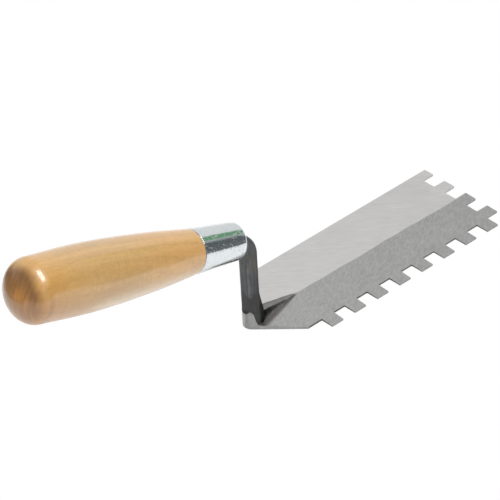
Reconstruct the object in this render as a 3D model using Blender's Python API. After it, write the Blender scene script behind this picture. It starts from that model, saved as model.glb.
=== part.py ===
"""Notched margin trowel, 5 in by 2 in, with 1/4 in square notches on one long edge and on the tip.

Metres, +Z up. The blade lies flat with its underside on Z = 0, +X runs to the tip, and the notched long
edge is on the -Y side. The origin is on the underside, on the blade's centreline, straight below the
shank's axis.

The real tool has three pieces: one forging that is blade, shank and tang together, a drawn steel ferrule,
and a turned hardwood handle. The tang is driven into the handle's bore through the ferrule, and the
ferrule grips the handle's tenon. Nothing moves.
"""

import math

import bmesh
import bpy
from mathutils import Matrix, Vector

MM = 0.001

# Gap between pieces that touch on the real tool
GAP = 0.3 * MM

# Blade
WIDTH = 50.0 * MM
PITCH = 12.7 * MM
SIDE_TEETH = 8
TIP_TEETH = 4
SIDE_NOTCH = 6.2 * MM
TIP_NOTCH = 6.6 * MM
NOTCH_DEPTH = 6.0 * MM
FIRST_TOOTH_X = 21.1 * MM
TIP_X = FIRST_TOOTH_X + SIDE_TEETH * PITCH
EDGE_THICKNESS = 0.65 * MM
RIDGE_AT_TIP = 0.95 * MM
RIDGE_AT_SHANK = 2.2 * MM

# Heel: two 45 degree shoulders that would meet at the apex, rounded in plan behind the shank
HEEL_APEX_X = -5.35 * MM
HEEL_ROUND = 4.0 * MM
HEEL_STEPS = 8

# Shank: a square bar with rounded corners that stands on the heel and bends back into the handle
SHANK_HALF = 3.15 * MM
SHANK_CORNER = 1.7 * MM
BEND_CORNER_Z = 43.3 * MM
BEND_RADIUS = 10.0 * MM
HANDLE_TILT = math.radians(17.23)

# Foot of the shank: it flares into the blade, widest in front and cut off by the heel behind
FOOT_RADIUS = 7.0 * MM
FOOT_CORNER_FLARE = 1.6 * MM
FOOT_SIDE_FLARE = 1.7 * MM
FOOT_CORNER_KNEE = 1.75 * MM
FOOT_SIDE_KNEE = 0.9 * MM
FOOT_BACK_RADIUS = 5.0 * MM
FLARE_Z = 16.1 * MM
BACK_FLARE_Z = 8.6 * MM
UPSET_RISE = 5.0 * MM
FOOT_SINK = 0.3 * MM

# Rib along the ridge, from the bar to a point: flat top, steep sides, hollow flanks
RIB_START_X = -1.0 * MM
RIB_TIP_X = 25.4 * MM
RIB_RISE = 4.3 * MM
RIB_TOP_HALF = 2.55 * MM
RIB_WALL = 0.45 * MM
RIB_FOOT_HALF = 6.6 * MM
RIB_FOOT_TIP = 1.6 * MM
RIB_FLANK_SHARE = 0.3
RIB_STEPS = 6

# Tang: the bar's taper inside the handle
FERRULE_FROM_CORNER = 6.4 * MM
TANG_LENGTH = 46.0 * MM
TANG_END_HALF = 1.5 * MM

# Ferrule: a drawn cap, closed at the front but for the tang's hole
FERRULE_LENGTH = 24.4 * MM
FERRULE_FRONT_RADIUS = 7.8 * MM
FERRULE_REAR_RADIUS = 9.25 * MM
FERRULE_WALL = 0.7 * MM
FERRULE_FACE = 1.0 * MM
FERRULE_LIP = 1.5 * MM
FERRULE_INSIDE_CHAMFER = 0.6 * MM

# Handle: turned wood behind the ferrule, and the tenon inside it
WOOD_LENGTH = 92.0 * MM
WOOD_FRONT_RADIUS = 9.23 * MM
WOOD_STATIONS = ((17.5, 11.24), (32.5, 12.52), (46.5, 13.38), (60.5, 13.77), (82.5, 13.3))
WOOD_SHOULDER_CHAMFER = 0.3 * MM
TENON_CHAMFER = 1.0 * MM
DOME_LENGTH = 9.5 * MM
BORE_LENGTH = TANG_LENGTH + 3.0 * MM

# Fineness of the meshes
SEGMENTS = 48
CORNER_STEPS = 4
FACE_STEPS = 4
FOOT_STEPS = 9
BEND_STEPS = 9
TANG_STEPS = 4
GRIP_STEPS = 14
DOME_STEPS = 8
SHARP_ANGLE = math.radians(32)


def clear_scene():
    for obj in list(bpy.data.objects):
        bpy.data.objects.remove(obj, do_unlink=True)


def make_material(name, colour, roughness, metallic):
    material = bpy.data.materials.new(name)
    material.use_nodes = True
    shader = material.node_tree.nodes["Principled BSDF"]
    shader.inputs["Base Color"].default_value = (*colour, 1.0)
    shader.inputs["Roughness"].default_value = roughness
    shader.inputs["Metallic"].default_value = metallic
    return material


def make_object(name, bm, material=None):
    bmesh.ops.recalc_face_normals(bm, faces=bm.faces)
    mesh = bpy.data.meshes.new(name)
    bm.to_mesh(mesh)
    bm.free()
    obj = bpy.data.objects.new(name, mesh)
    bpy.context.scene.collection.objects.link(obj)
    if material:
        mesh.materials.append(material)
        mesh.shade_smooth()
        mesh.set_sharp_from_angle(angle=SHARP_ANGLE)
    return obj


def make_helper(name, bm):
    obj = make_object(name, bm)
    obj.hide_render = True
    obj.display_type = "WIRE"
    return obj


def add_boolean(obj, helper, operation):
    modifier = obj.modifiers.new(helper.name, "BOOLEAN")
    modifier.operation = operation
    modifier.solver = "EXACT"
    modifier.object = helper


def add_loft(bm, rings):
    """Skin over rings of equally many points, with both ends capped."""
    rows = [[bm.verts.new(point) for point in ring] for ring in rings]
    count = len(rows[0])
    for lower, upper in zip(rows, rows[1:]):
        for i in range(count):
            j = (i + 1) % count
            bm.faces.new((lower[i], lower[j], upper[j], upper[i]))
    bm.faces.new(rows[0][::-1])
    bm.faces.new(rows[-1])


def add_prism(bm, outline, low, high):
    add_loft(bm, [[Vector((x, y, z)) for x, y in outline] for z in (low, high)])


def smooth_step(value):
    value = min(max(value, 0.0), 1.0)
    return value * value * (3.0 - 2.0 * value)


def roof_height(x, y):
    """Top of the blade: an even thickness along its edges, rising to a ridge on the centreline."""
    ridge = RIDGE_AT_SHANK + (RIDGE_AT_TIP - RIDGE_AT_SHANK) * x / TIP_X
    return EDGE_THICKNESS + (ridge - EDGE_THICKNESS) * (1.0 - abs(y) / (WIDTH / 2))


def heel_arc():
    """Plan points round the back of the heel, from the plain side's shoulder to the notched side's."""
    centre_x = HEEL_APEX_X + HEEL_ROUND * math.sqrt(2)
    angles = [math.radians(135 + 90 * step / HEEL_STEPS) for step in range(HEEL_STEPS + 1)]
    return [(centre_x + HEEL_ROUND * math.cos(a), HEEL_ROUND * math.sin(a)) for a in angles]


def blade_outline():
    """Plan outline, anticlockwise from the back of the heel: notched side, notched tip, plain side."""
    near = -WIDTH / 2
    inner = near + NOTCH_DEPTH
    points = heel_arc() + [(HEEL_APEX_X - inner, inner)]
    for tooth in range(SIDE_TEETH):
        start = FIRST_TOOTH_X + tooth * PITCH
        end = start + PITCH - SIDE_NOTCH
        points += [(start, inner), (start, near), (end, near)]
        if tooth < SIDE_TEETH - 1:
            points.append((end, inner))
    points.append((TIP_X - SIDE_NOTCH, near + TIP_NOTCH))
    for tooth in range(TIP_TEETH):
        start = near + tooth * PITCH + TIP_NOTCH
        end = min(near + (tooth + 1) * PITCH, WIDTH / 2)
        points += [(TIP_X, start), (TIP_X, end)]
        if tooth < TIP_TEETH - 1:
            points += [(TIP_X - NOTCH_DEPTH, end), (TIP_X - NOTCH_DEPTH, end + TIP_NOTCH)]
    points.append((WIDTH / 2 + HEEL_APEX_X, WIDTH / 2))
    return points


def blade_bmesh():
    """The blade: a flat sheet in its outline, cut into a grid, thickened, its top raised to the ridge."""
    bm = bmesh.new()
    outline = blade_outline()
    bm.faces.new([bm.verts.new((x, y, 0.0)) for x, y in outline])
    cuts = [(Vector((x, 0, 0)), Vector((1, 0, 0))) for x in sorted({round(p[0], 6) for p in outline})]
    cuts += [(Vector((0, y, 0)), Vector((0, 1, 0))) for y in (-WIDTH / 4, 0.0, WIDTH / 4)]
    for place, normal in cuts:
        everything = bm.verts[:] + bm.edges[:] + bm.faces[:]
        bmesh.ops.bisect_plane(bm, geom=everything, dist=1e-7, plane_co=place, plane_no=normal)
    extruded = bmesh.ops.extrude_face_region(bm, geom=bm.faces[:], use_keep_orig=True)
    for item in extruded["geom"]:
        if isinstance(item, bmesh.types.BMVert):
            item.co.z = roof_height(item.co.x, item.co.y)
    return bm


def bar_section(half, corner):
    """Rounded square about the origin, anticlockwise from the middle of its +X side."""
    flat = half - corner
    points = [(half, flat * step / FACE_STEPS) for step in range(FACE_STEPS)]
    for quarter in range(4):
        turn = Matrix.Rotation(quarter * math.pi / 2, 2)
        for step in range(CORNER_STEPS + 1):
            angle = step / CORNER_STEPS * math.pi / 2
            points.append(turn @ Vector((flat + corner * math.cos(angle), flat + corner * math.sin(angle))))
        if quarter < 3:
            points.append(turn @ Vector((0.0, half)))
    points += [(half, -flat * (FACE_STEPS - step) / FACE_STEPS) for step in range(1, FACE_STEPS)]
    return [Vector(point) for point in points]


def foot_ring(section, share):
    """Ring of the foot at a share of the way from the bar's sides, 0, out to where it meets the blade, 1."""
    ring = []
    for inner in section:
        turn = abs(math.degrees(math.atan2(inner.y, inner.x)))
        to_side = smooth_step((turn - 18) / 24)
        past_corner = smooth_step((turn - 60) / 50)
        to_low = smooth_step((turn - 95) / 30)
        to_back = smooth_step((turn - 125) / 25)
        flare = FOOT_CORNER_FLARE + (FOOT_SIDE_FLARE - FOOT_CORNER_FLARE) * past_corner
        knee = FOOT_CORNER_KNEE + (FOOT_SIDE_KNEE - FOOT_CORNER_KNEE) * past_corner
        start = knee * (0.8 - 0.45 * past_corner)
        reach = FOOT_RADIUS - SHANK_HALF + (flare + 0.5 * MM - FOOT_RADIUS + SHANK_HALF) * to_side
        reach += (FOOT_BACK_RADIUS - inner.length - reach) * to_back
        out = reach * share
        top = FLARE_Z + (BACK_FLARE_Z - FLARE_Z) * to_low - RIDGE_AT_SHANK
        front = top * (1.0 - share) ** 3
        side = (top - UPSET_RISE) * max(1.0 - out / knee, 0.0) ** (1.2 + 0.8 * past_corner)
        side += UPSET_RISE * (1.0 - smooth_step((out - start) / (flare - start)))
        back = top * (1.0 - share) ** 0.6
        rise = front + (side - front) * to_side
        rise += (back - rise) * to_back
        place = inner + inner.normalized() * out
        ring.append(Vector((place.x, place.y, roof_height(*place) + rise - FOOT_SINK * share)))
    return ring


def bar_ring(section, centre, angle):
    """The section across the bar where the bar's axis has turned back by an angle from straight up."""
    outward = Vector((math.cos(angle), 0.0, math.sin(angle)))
    return [centre + outward * point.x + Vector((0.0, point.y, 0.0)) for point in section]


def shank_bmesh():
    """Foot, upright, bend and tang as one loft."""
    bm = bmesh.new()
    section = bar_section(SHANK_HALF, SHANK_CORNER)
    turn = math.pi / 2 - HANDLE_TILT
    run_in = BEND_RADIUS * math.tan(turn / 2)
    bend_z = BEND_CORNER_Z - run_in
    rings = [foot_ring(section, (step / FOOT_STEPS) ** 2) for step in range(FOOT_STEPS, 0, -1)]
    rings += [bar_ring(section, Vector((0, 0, z)), 0.0) for z in (FLARE_Z, (FLARE_Z + bend_z) / 2)]
    for step in range(BEND_STEPS + 1):
        angle = turn * step / BEND_STEPS
        centre = Vector((BEND_RADIUS * (math.cos(angle) - 1), 0, bend_z + BEND_RADIUS * math.sin(angle)))
        rings.append(bar_ring(section, centre, angle))
    along = Vector((-math.cos(HANDLE_TILT), 0, math.sin(HANDLE_TILT)))
    for step in range(1, TANG_STEPS + 1):
        share = step / TANG_STEPS
        half = SHANK_HALF + (TANG_END_HALF - SHANK_HALF) * share
        tapered = bar_section(half, SHANK_CORNER * half / SHANK_HALF)
        rings.append(bar_ring(tapered, centre + along * TANG_LENGTH * share, turn))
    add_loft(bm, rings)
    return bm


def rib_bmesh():
    """The rib as a loft along X, lowest and narrowest at its point."""
    bm = bmesh.new()
    rings = []
    for step in range(RIB_STEPS + 1):
        x = RIB_START_X + (RIB_TIP_X - RIB_START_X) * step / RIB_STEPS
        share = max(x / RIB_TIP_X, 0.0)
        rise = RIB_RISE * (1.0 - share)
        top = RIB_TOP_HALF * (1.0 - 0.86 * share)
        wall = top + RIB_WALL * (1.0 - 0.6 * share)
        foot = RIB_FOOT_HALF + (RIB_FOOT_TIP - RIB_FOOT_HALF) * share
        half = [(0.0, 1.0), (top * 0.9, 0.98), (top, 0.9), (wall, RIB_FLANK_SHARE)]
        half += [(wall + (foot - wall) * k, RIB_FLANK_SHARE * (1.0 - k) ** 2.2) for k in (0.25, 0.6, 1.0)]
        ring = []
        for y, portion in [(-y, portion) for y, portion in half[:0:-1]] + half:
            sink = 0.12 * MM * max(abs(y) / foot, share**3)
            ring.append(Vector((x, y, roof_height(x, y) + rise * portion - sink)))
        ring += [Vector((x, foot, 0.25 * MM)), Vector((x, -foot, 0.25 * MM))]
        rings.append(ring)
    add_loft(bm, rings)
    return bm


def shoulder_cutter():
    """Everything behind the heel's two shoulders and its arc, up to above the flare."""
    bm = bmesh.new()
    side = WIDTH
    outline = [(HEEL_APEX_X + side, side), *heel_arc(), (HEEL_APEX_X + side, -side)]
    outline += [(-side, -side), (-side, side)]
    add_prism(bm, outline, -side, FLARE_Z + 2 * MM)
    return make_helper("shoulder_cutter", bm)


def add_lathe(bm, profile):
    """Turns a closed profile of (radius, height) points about Z. A point at radius 0 is on the axis."""
    rows = []
    for radius, height in profile:
        if radius == 0.0:
            rows.append([bm.verts.new((0.0, 0.0, height))] * SEGMENTS)
            continue
        angles = [2 * math.pi * i / SEGMENTS for i in range(SEGMENTS)]
        rows.append([bm.verts.new((radius * math.cos(a), radius * math.sin(a), height)) for a in angles])
    for row, following in zip(rows, rows[1:] + rows[:1]):
        for i in range(SEGMENTS):
            j = (i + 1) % SEGMENTS
            corners = list(dict.fromkeys((row[i], row[j], following[j], following[i])))
            if len(corners) > 2:
                bm.faces.new(corners)


def square_cutter(name, start_half, end_half, low, high):
    """Tapered square prism about Z, for the tang's hole."""
    bm = bmesh.new()
    rings = []
    for half, z in ((start_half, low), (end_half, high)):
        rings.append([Vector((x * half, y * half, z)) for x, y in ((1, 1), (-1, 1), (-1, -1), (1, -1))])
    add_loft(bm, rings)
    return make_helper(name, bm)


def ferrule_bmesh():
    """Drawn cap about Z: rounded lip at the front, z = 0, and open at the rear."""
    bm = bmesh.new()
    slope = (FERRULE_REAR_RADIUS - FERRULE_FRONT_RADIUS) / FERRULE_LENGTH
    profile = [(0.0, 0.0), (FERRULE_FRONT_RADIUS - FERRULE_LIP, 0.0)]
    for step in range(1, 6):
        angle = math.pi / 2 * step / 5
        radius = FERRULE_FRONT_RADIUS - FERRULE_LIP * (1 - math.sin(angle))
        profile.append((radius, FERRULE_LIP * (1 - math.cos(angle))))
    inner_front = FERRULE_FRONT_RADIUS + slope * FERRULE_FACE - FERRULE_WALL
    profile += [
        (FERRULE_REAR_RADIUS, FERRULE_LENGTH),
        (FERRULE_REAR_RADIUS - FERRULE_WALL, FERRULE_LENGTH),
        (inner_front, FERRULE_FACE + FERRULE_INSIDE_CHAMFER),
        (inner_front - FERRULE_INSIDE_CHAMFER, FERRULE_FACE),
        (0.0, FERRULE_FACE),
    ]
    add_lathe(bm, profile)
    return bm


def wood_radius(z):
    """Radius of the turned wood behind the ferrule: a smooth curve through its stations."""
    stations = [(FERRULE_LENGTH, WOOD_FRONT_RADIUS)]
    stations += [(FERRULE_LENGTH + z_mm * MM, r_mm * MM) for z_mm, r_mm in WOOD_STATIONS]
    last = len(stations) - 1
    slopes = []
    for i in range(last + 1):
        before, after = stations[max(i - 1, 0)], stations[min(i + 1, last)]
        slopes.append((after[1] - before[1]) / (after[0] - before[0]))
    for i in range(last):
        (z0, r0), (z1, r1) = stations[i], stations[i + 1]
        if z <= z1 or i == last - 1:
            span = z1 - z0
            t = (z - z0) / span
            start = (2 * t**3 - 3 * t**2 + 1) * r0 + (t**3 - 2 * t**2 + t) * span * slopes[i]
            return start + (3 * t**2 - 2 * t**3) * r1 + (t**3 - t**2) * span * slopes[i + 1]


def handle_bmesh():
    """Turned handle about Z: tenon inside the ferrule, swelling grip, and an elliptical dome at the butt."""
    bm = bmesh.new()
    slope = (FERRULE_REAR_RADIUS - FERRULE_FRONT_RADIUS) / FERRULE_LENGTH
    tenon_front = FERRULE_FACE + GAP
    inner_front = FERRULE_FRONT_RADIUS + slope * FERRULE_FACE - FERRULE_WALL - GAP
    shoulder_z = FERRULE_LENGTH + GAP
    profile = [
        (0.0, tenon_front),
        (inner_front - TENON_CHAMFER, tenon_front),
        (inner_front, tenon_front + TENON_CHAMFER),
        (FERRULE_REAR_RADIUS - FERRULE_WALL - GAP, shoulder_z),
        (WOOD_FRONT_RADIUS - WOOD_SHOULDER_CHAMFER, shoulder_z),
        (WOOD_FRONT_RADIUS, shoulder_z + WOOD_SHOULDER_CHAMFER),
    ]
    butt_z = FERRULE_LENGTH + WOOD_LENGTH
    dome_z = butt_z - DOME_LENGTH
    for step in range(1, GRIP_STEPS + 1):
        z = shoulder_z + (dome_z - shoulder_z) * step / GRIP_STEPS
        profile.append((wood_radius(z), z))
    for step in range(1, DOME_STEPS + 1):
        angle = math.pi / 2 * step / DOME_STEPS
        radius = wood_radius(dome_z) * math.cos(angle) if step < DOME_STEPS else 0.0
        profile.append((radius, dome_z + DOME_LENGTH * math.sin(angle)))
    add_lathe(bm, profile)
    return bm


def build():
    clear_scene()
    steel = make_material("forged_steel", (0.38, 0.38, 0.37), 0.38, 1.0)
    zinc = make_material("plated_steel", (0.74, 0.76, 0.78), 0.16, 1.0)
    wood = make_material("lacquered_wood", (0.58, 0.34, 0.13), 0.3, 0.0)

    forging = make_object("blade_shank_tang", blade_bmesh(), steel)
    add_boolean(forging, make_helper("shank_blank", shank_bmesh()), "UNION")
    add_boolean(forging, make_helper("rib_blank", rib_bmesh()), "UNION")
    add_boolean(forging, shoulder_cutter(), "DIFFERENCE")

    axis = bpy.data.objects.new("handle_axis", None)
    bpy.context.scene.collection.objects.link(axis)
    along = Vector((-math.cos(HANDLE_TILT), 0, math.sin(HANDLE_TILT)))
    axis.location = Vector((0, 0, BEND_CORNER_Z)) + along * FERRULE_FROM_CORNER
    axis.rotation_euler = (0, HANDLE_TILT - math.pi / 2, 0)

    hole_half = SHANK_HALF + GAP
    ferrule = make_object("ferrule", ferrule_bmesh(), zinc)
    ferrule_hole = square_cutter("ferrule_hole", hole_half, hole_half, -5 * MM, 5 * MM)
    add_boolean(ferrule, ferrule_hole, "DIFFERENCE")

    handle = make_object("wooden_handle", handle_bmesh(), wood)
    end_half = TANG_END_HALF + GAP
    taper = (hole_half - end_half) / TANG_LENGTH
    bore = square_cutter("tang_bore", hole_half + taper * 5 * MM, end_half, -5 * MM, BORE_LENGTH)
    add_boolean(handle, bore, "DIFFERENCE")

    for piece in (ferrule, ferrule_hole, handle, bore):
        piece.parent = axis


build()
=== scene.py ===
"""Visual model of the notched margin trowel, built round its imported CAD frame, with floor, light and camera.

Metres, +Z up, in the CAD's own frame: the blade's underside is on Z = 0, +X runs to the tip, and the notched
long edge is on the -Y side. Three pieces are made here: the forging (blade, shank and tang), the ferrule and
the turned wooden handle. The ferrule and the handle are made about their own axis, local +Z from the
ferrule's front to the butt, and then set on the handle's axis.
"""

import math

import bmesh
import bpy
from mathutils import Matrix, Vector, noise


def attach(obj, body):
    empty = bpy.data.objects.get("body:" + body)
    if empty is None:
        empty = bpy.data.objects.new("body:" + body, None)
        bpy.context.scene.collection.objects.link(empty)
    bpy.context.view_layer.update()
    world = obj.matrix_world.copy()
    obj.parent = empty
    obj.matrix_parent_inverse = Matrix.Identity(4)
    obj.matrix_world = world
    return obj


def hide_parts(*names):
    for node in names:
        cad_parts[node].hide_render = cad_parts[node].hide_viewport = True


MM = 0.001

# Blade, as in the CAD
WIDTH = 50.0 * MM
PITCH = 12.7 * MM
SIDE_TEETH = 8
TIP_TEETH = 4
SIDE_NOTCH = 6.2 * MM
TIP_NOTCH = 6.6 * MM
NOTCH_DEPTH = 6.0 * MM
FIRST_TOOTH_X = 21.1 * MM
TIP_X = FIRST_TOOTH_X + SIDE_TEETH * PITCH
EDGE_THICKNESS = 0.65 * MM
RIDGE_AT_TIP = 0.95 * MM
RIDGE_AT_SHANK = 2.2 * MM

# Blade, finer than the CAD
NOTCH_CORNER = 0.4 * MM
TOOTH_CORNER = 0.22 * MM
SHOULDER_CORNER = 0.5 * MM
TOOTH_DRAFT = 0.08 * MM
EDGE_BEVEL = 0.1 * MM
RIDGE_SOFTNESS = 0.3 * MM
RIDGE_WANDER = 0.5 * MM
RIDGE_WANDER_LENGTH = 7.0 * MM
CORNER_STEPS = 4
GRID_X_MM = range(-2, 122, 3)
GRID_Y_MM = (0.0, 0.15, 0.4, 0.9, 2.0, 4.5, 9.0, 15.0)

# Heel
HEEL_APEX_X = -5.35 * MM
HEEL_ROUND = 4.0 * MM
HEEL_STEPS = 16
HEEL_INSET = 0.015 * MM

# Shank and its foot
SHANK_HALF = 3.15 * MM
SHANK_CORNER = 1.7 * MM
BEND_CORNER_Z = 43.3 * MM
BEND_RADIUS = 10.0 * MM
HANDLE_TILT = math.radians(17.23)
ALONG_HANDLE = Vector((-math.cos(HANDLE_TILT), 0, math.sin(HANDLE_TILT)))
FOOT_RADIUS = 7.0 * MM
FOOT_CORNER_FLARE = 1.6 * MM
FOOT_SIDE_FLARE = 1.7 * MM
FOOT_CORNER_KNEE = 1.75 * MM
FOOT_SIDE_KNEE = 0.9 * MM
FOOT_SIDE_MARGIN = 0.5 * MM
FOOT_BACK_RADIUS = 5.0 * MM
FOOT_HAMMERED = 0.35 * MM
FOOT_LEAN = 0.12
FLARE_Z = 16.1 * MM
BACK_FLARE_Z = 8.6 * MM
UPSET_RISE = 5.0 * MM
FOOT_SINK = 0.3 * MM
TANG_LENGTH = 46.0 * MM
TANG_END_HALF = 1.5 * MM
FERRULE_FROM_CORNER = 6.4 * MM
BAR_WORN = 0.05 * MM
BAR_HAMMERED = 0.06 * MM
HAMMER_LENGTH = 3.5 * MM
BAR_STEPS = 7
FOOT_STEPS = 30
UPRIGHT_STEPS = 18
BEND_STEPS = 24
TANG_STEPS = 8

# Rib along the ridge, from the bar to a point
RIB_START_X = -4.0 * MM
RIB_TIP_X = 25.4 * MM
RIB_RISE = 4.3 * MM
RIB_TOP_HALF = 2.55 * MM
RIB_TOP_TAPER = 0.86
RIB_EDGE = 0.16 * MM
RIB_WALL = 0.45 * MM
RIB_WALL_TAPER = 0.6
RIB_WALL_SHARE = 0.84
RIB_FOOT_HALF = 6.6 * MM
RIB_FOOT_TIP = 1.6 * MM
RIB_FLANK_SHARE = 0.3
RIB_SINK = 0.12 * MM
RIB_HAMMERED = 0.12 * MM
RIB_HAMMER_LENGTH = 2.6 * MM
RIB_STEPS = 40

# Sides round the two turned pieces
SEGMENTS = 128

# Ferrule
FERRULE_LENGTH = 24.4 * MM
FERRULE_FRONT_RADIUS = 7.8 * MM
FERRULE_REAR_RADIUS = 9.25 * MM
FERRULE_SLOPE = (FERRULE_REAR_RADIUS - FERRULE_FRONT_RADIUS) / FERRULE_LENGTH
FERRULE_WALL = 0.7 * MM
FERRULE_FACE = 1.0 * MM
FERRULE_LIP = 1.5 * MM
FERRULE_REAR_ROUND = 0.2 * MM
FIT_GAP = 0.1 * MM

# Handle
WOOD_LENGTH = 92.0 * MM
WOOD_FRONT_RADIUS = 9.23 * MM
WOOD_STATIONS = ((17.5, 11.24), (32.5, 12.52), (46.5, 13.38), (60.5, 13.77), (82.5, 13.3))
DOME_LENGTH = 9.5 * MM
BORE_LENGTH = TANG_LENGTH + 3.0 * MM
WOOD_STEPS = 56
DOME_STEPS = 24

# Camera: a long lens from above the notched side, behind the heel. Its azimuth is from -Y towards +X.
CAMERA_TARGET = Vector((-1.5, -3.3, 39.9)) * MM
CAMERA_DISTANCE = 1.5368
CAMERA_AZIMUTH = math.radians(-40.4538)
CAMERA_ELEVATION = math.radians(36.7816)
CAMERA_ROLL = math.radians(-3.4063)
CAMERA_LENS = 277.98

# Materials. Colours are linear, and noise mostly stays within its range.
NOISE_RANGE = (0.3, 0.7)
WHITE = (1.0, 1.0, 1.0, 1.0)
NEAR_GRIND = math.radians(30)
FAR_GRIND = math.radians(-40)
# One ground steel, with painted shade on the near facet and painted light on the far one
SHADED_NEAR_FACET = (0.413, 0.4125, 0.4095)
LIT_FAR_FACET = (0.639, 0.629, 0.626)
# Heat scale and painted shade on the blade round the foot and the rib
SCORCH_AND_SHADE_HALF = 8.4 * MM
SCORCH_AND_SHADE_TIP_HALF = 0.5 * MM
SCORCHED_AND_SHADED_INSIDE = (0.085, 0.081, 0.076)
SCORCHED_AND_SHADED_EDGE = (0.235, 0.222, 0.212)
SKIN_LOW = (0.064, 0.064, 0.064)
SKIN_HIGH = (0.096, 0.101, 0.106)
SKIN_HEATED = (0.135, 0.118, 0.088)
# The bar's upright corners: partly rubbed wear, partly a painted highlight
WORN_AND_HIGHLIT_CORNER = (0.17, 0.18, 0.178)
# Dark scale and painted shade in the hollow between the bar and the rib
FOOT_HOLLOW_SCALE_AND_SHADE = (0.028, 0.027, 0.025)
RIB_POINT = (0.34, 0.325, 0.31)
# Painted light on the rib's upward-facing crest
RIB_CREST_PAINTED_LIGHT = (0.235, 0.23, 0.225)
# Painted shade along the far edge of the rib's crest
RIB_FAR_EDGE_SHADE = (0.085, 0.083, 0.080)
TORN_BELOW = (0.55, 0.55, 0.54)
TORN_ABOVE = (0.06, 0.06, 0.058)
PLATING = (0.684, 0.716, 0.734)
PLATING_SPECK = (0.30, 0.30, 0.29)
WOOD_DEEP = (0.486, 0.256, 0.066)
WOOD_LIGHT = (0.596, 0.354, 0.119)
WOOD_AT_FERRULE = (0.630, 0.332, 0.088)
# Painted reflection of the white table on the grip's lower near side
WOOD_PAINTED_REFLECTION = (0.71, 0.54, 0.35)
RING_SPACING = 1.9 * MM
FLAME_SPACING = 5.2 * MM
# Painted light and shade on the shoulder: darker below, lighter on top
SHOULDER_SHADED_BELOW = (0.498, 0.232, 0.047)
SHOULDER_LIT_ABOVE = (0.600, 0.312, 0.068)
DARK_LINE_AT_BUTT = (0.36, 0.150, 0.022)
END_GRAIN = (0.285, 0.112, 0.010)
END_GRAIN_MIDDLE = (0.335, 0.142, 0.020)
BUTT_SPOT = (0.8 * MM, -3.4 * MM, 115.9 * MM)
# Painted shade in the groove where the wood meets the ferrule
JOINT_SHADE = (0.09, 0.055, 0.030)

# Surroundings
FLOOR_RADIUS = 0.9
FLOOR_GAP = 0.02 * MM
FLOOR_DARK = (0.79, 0.79, 0.79)
FLOOR_LIGHT = (0.81, 0.81, 0.81)
CARD_NEAR = (0.160, 0.174, 0.182)
CARD_BEHIND = (0.19, 0.175, 0.165)
TENT = (0.66, 0.66, 0.66)
TENT_FAR_SIDE = (0.895, 0.90, 0.893)
TENT_BEHIND = (0.34, 0.335, 0.33)
GAP = (0.122, 0.136, 0.143)
GAP_EDGE = (0.50, 0.53, 0.51)
GAP_GREEN = (0.175, 0.375, 0.215)


# Mesh helpers


def make_object(name, bm, materials):
    bmesh.ops.recalc_face_normals(bm, faces=bm.faces)
    mesh = bpy.data.meshes.new(name)
    bm.to_mesh(mesh)
    bm.free()
    for material in materials:
        mesh.materials.append(material)
    obj = bpy.data.objects.new(name, mesh)
    bpy.context.scene.collection.objects.link(obj)
    return obj


def boolean(obj, bm, operation):
    """Joins obj with another mesh, or cuts it, applies the result and removes the other mesh."""
    other = make_object("other", bm, [])
    modifier = obj.modifiers.new("boolean", "BOOLEAN")
    modifier.operation = operation
    modifier.solver = "EXACT"
    modifier.object = other
    graph = bpy.context.evaluated_depsgraph_get()
    mesh = bpy.data.meshes.new_from_object(obj.evaluated_get(graph))
    obj.modifiers.clear()
    old = obj.data
    obj.data = mesh
    bpy.data.meshes.remove(old)
    bpy.data.meshes.remove(other.data)
    mesh.name = obj.name


def shade(obj, angle):
    """Smooth shading with edges sharper than an angle in degrees kept, and normals weighted by face area."""
    obj.data.shade_smooth()
    obj.data.set_sharp_from_angle(angle=math.radians(angle))
    weighted = obj.modifiers.new("weighted_normals", "WEIGHTED_NORMAL")
    weighted.keep_sharp = True
    weighted.weight = 80


def add_loft(bm, rings):
    """Skin over rings of equally many points, with both ends capped."""
    rows = [[bm.verts.new(point) for point in ring] for ring in rings]
    count = len(rows[0])
    for lower, upper in zip(rows, rows[1:]):
        for i in range(count):
            j = (i + 1) % count
            bm.faces.new((lower[i], lower[j], upper[j], upper[i]))
    bm.faces.new(rows[0][::-1])
    bm.faces.new(rows[-1])


def add_lathe(bm, profile):
    """Turns a closed profile of (radius, height) points about Z. A point at radius 0 is on the axis."""
    rows = []
    for radius, height in profile:
        if radius == 0.0:
            rows.append([bm.verts.new((0.0, 0.0, height))] * SEGMENTS)
            continue
        angles = [2 * math.pi * i / SEGMENTS for i in range(SEGMENTS)]
        rows.append([bm.verts.new((radius * math.cos(a), radius * math.sin(a), height)) for a in angles])
    for row, following in zip(rows, rows[1:] + rows[:1]):
        for i in range(SEGMENTS):
            j = (i + 1) % SEGMENTS
            corners = list(dict.fromkeys((row[i], row[j], following[j], following[i])))
            if len(corners) > 2:
                bm.faces.new(corners)


def arc(centre, radius, start, end, steps):
    """Points (r, z) on an arc in a turned profile, angles in degrees."""
    angles = [math.radians(start + (end - start) * step / steps) for step in range(steps + 1)]
    return [(centre[0] + radius * math.cos(a), centre[1] + radius * math.sin(a)) for a in angles]


def smooth_step(value):
    value = min(max(value, 0.0), 1.0)
    return value * value * (3.0 - 2.0 * value)


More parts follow.
